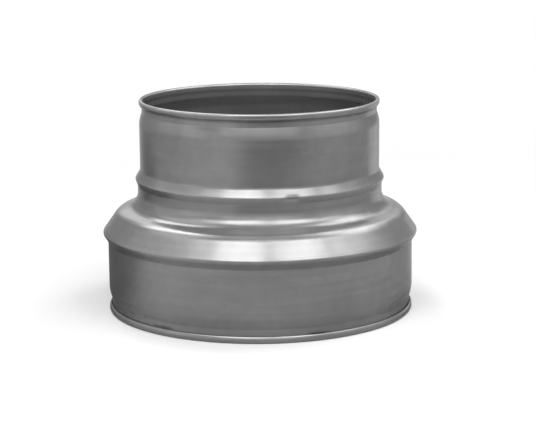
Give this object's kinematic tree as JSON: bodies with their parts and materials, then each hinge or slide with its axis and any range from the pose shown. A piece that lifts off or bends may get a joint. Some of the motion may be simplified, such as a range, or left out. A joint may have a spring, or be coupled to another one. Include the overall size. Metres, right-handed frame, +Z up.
{
  "type": "duct reducer",
  "caption": "Round sheet-steel duct reducer: a large spigot, a stepped shoulder with a stop ring, a neck with a stop bead, and a small spigot, with folded lips at both rims.",
  "frame": {"origin": "centre of the lower rim, on the plane that the reducer stands on", "axes": "+Z up the common axis of both spigots, from the large one to the small one; the reducer is round, so X and Y are free"},
  "size_m": [0.1638, 0.1638, 0.1099],
  "materials": {
    "zinc": "galvanised, satin"
  },
  "bodies": {
    "root": {"reducer": "zinc"}
  },
  "joints": []
}
